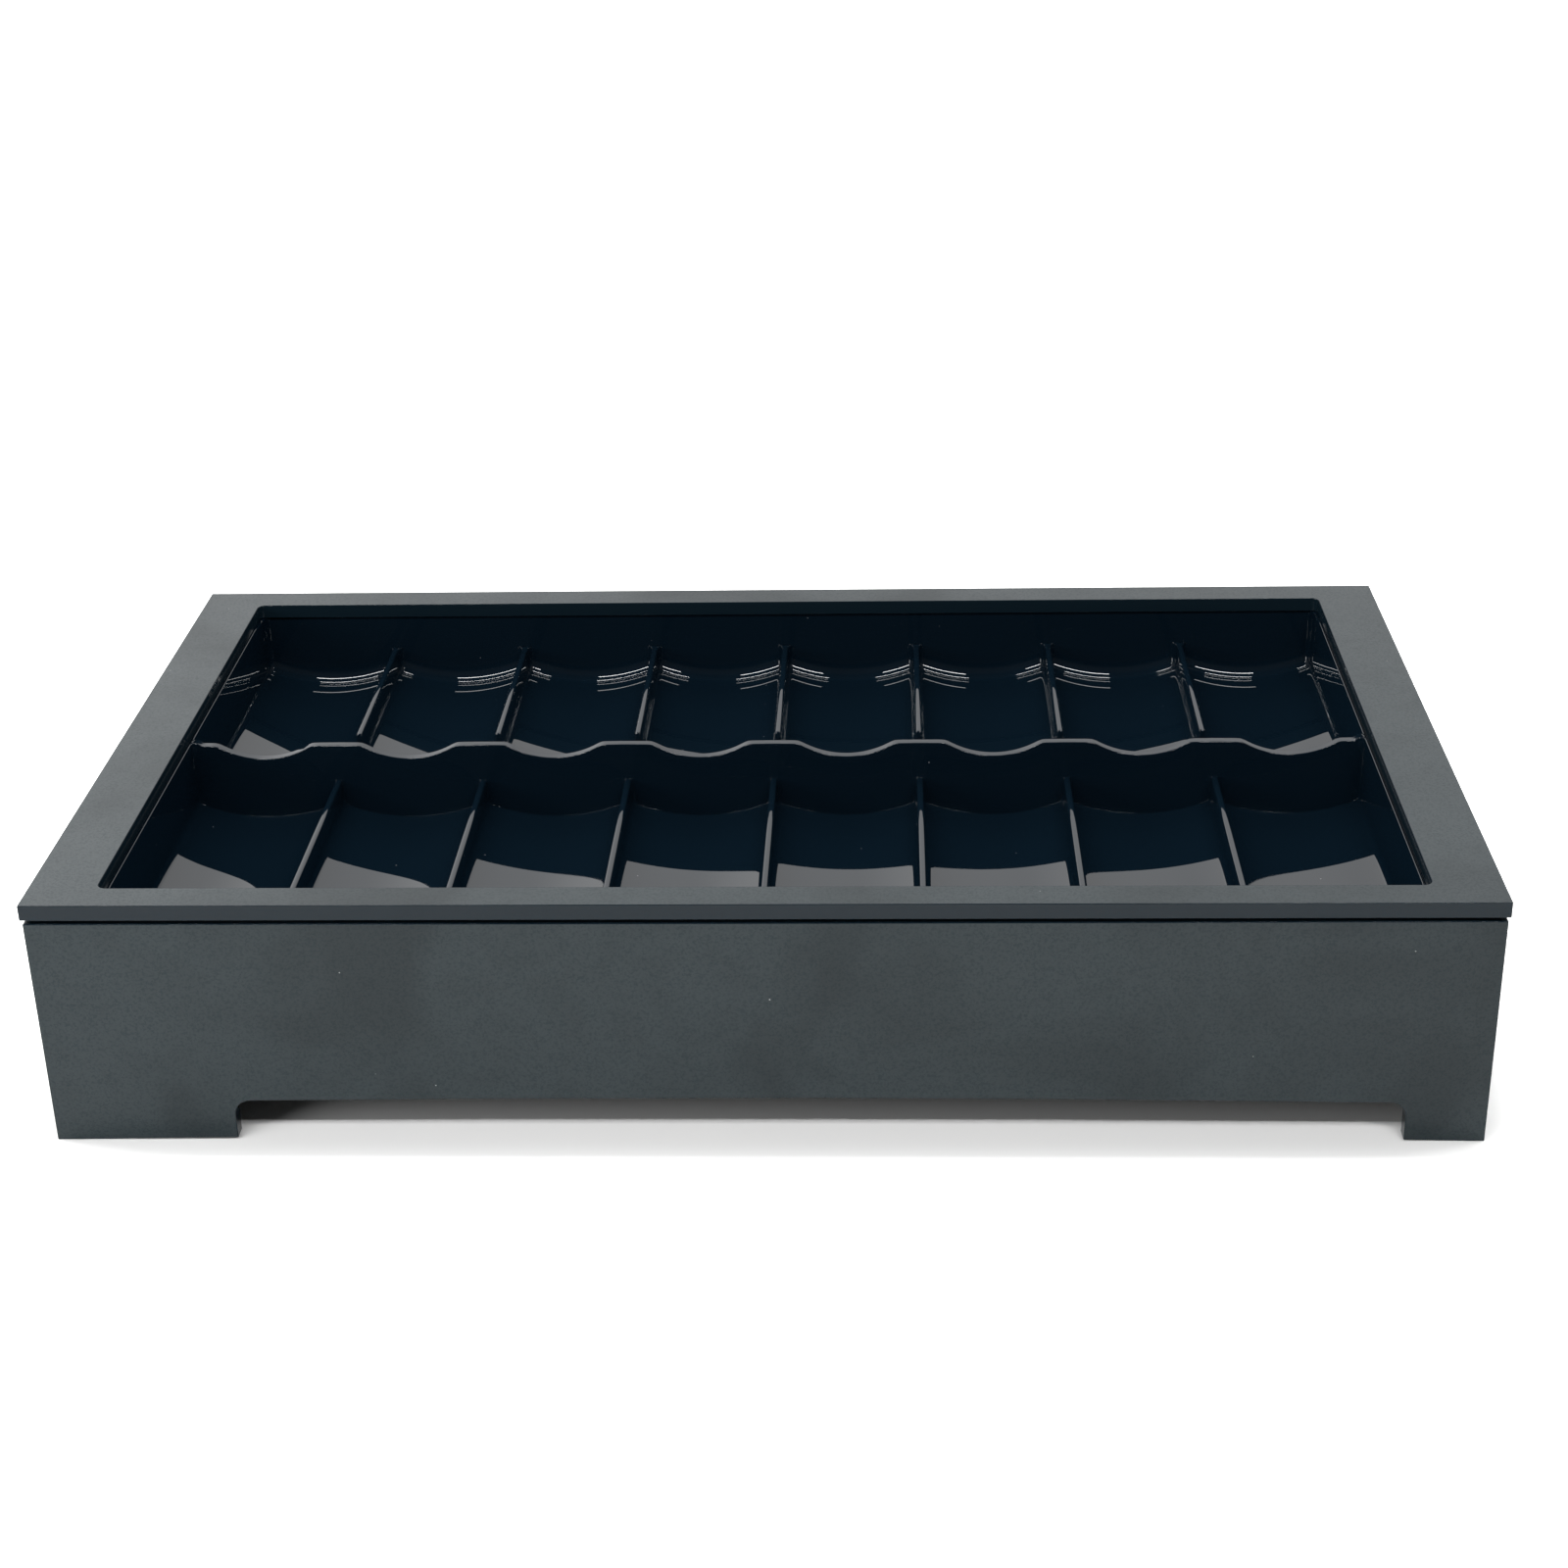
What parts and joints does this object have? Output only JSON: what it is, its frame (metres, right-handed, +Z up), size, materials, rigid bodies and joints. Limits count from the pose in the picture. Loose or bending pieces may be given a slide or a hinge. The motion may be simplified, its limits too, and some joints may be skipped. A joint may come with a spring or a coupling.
{
  "type": "makeup display tray",
  "caption": "Low black display tray on short feet: a box base, a glossy insert with rows of shallow trough pockets, and a flat lift-off frame.",
  "frame": {"origin": "on the table, at the middle of the tray's footprint", "axes": "+X to the right along the long side, -Y out of the front with the cut-out, +Z up"},
  "size_m": [0.4, 0.2286, 0.0752],
  "materials": {
    "satin_black": "satin",
    "gloss_black": "high gloss",
    "plain_black": "sawn and sanded"
  },
  "bodies": {
    "base": {"base_front_panel": "satin_black", "base_rear_panel": "satin_black", "base_left_panel": "satin_black", "base_right_panel": "satin_black", "corner_block_front_left": "plain_black", "corner_block_front_right": "plain_black", "corner_block_rear_left": "plain_black", "corner_block_rear_right": "plain_black"},
    "insert": {"insert_flange": "gloss_black", "insert_walls": "gloss_black", "pocket_floor_1": "gloss_black", "pocket_floor_2": "gloss_black", "pocket_floor_3": "gloss_black", "pocket_floor_4": "gloss_black", "pocket_floor_5": "gloss_black", "pocket_floor_6": "gloss_black", "pocket_floor_7": "gloss_black", "pocket_floor_8": "gloss_black", "insert_centre_wall": "gloss_black", "front_divider_1": "gloss_black", "front_divider_2": "gloss_black", "front_divider_3": "gloss_black", "front_divider_4": "gloss_black", "front_divider_5": "gloss_black", "front_divider_6": "gloss_black", "front_divider_7": "gloss_black", "back_divider_1": "gloss_black", "back_divider_2": "gloss_black", "back_divider_3": "gloss_black", "back_divider_4": "gloss_black", "back_divider_5": "gloss_black", "back_divider_6": "gloss_black", "back_divider_7": "gloss_black"},
    "frame": {"top_frame": "satin_black"}
  },
  "joints": [
    {"name": "insert_lift", "type": "slide", "parent": "base", "child": "insert", "axis": [0, 0, 1], "range_m": [0, 0.035]},
    {"name": "frame_lift", "type": "slide", "parent": "insert", "child": "frame", "axis": [0, 0, 1], "range_m": [0, 0.03]}
  ]
}
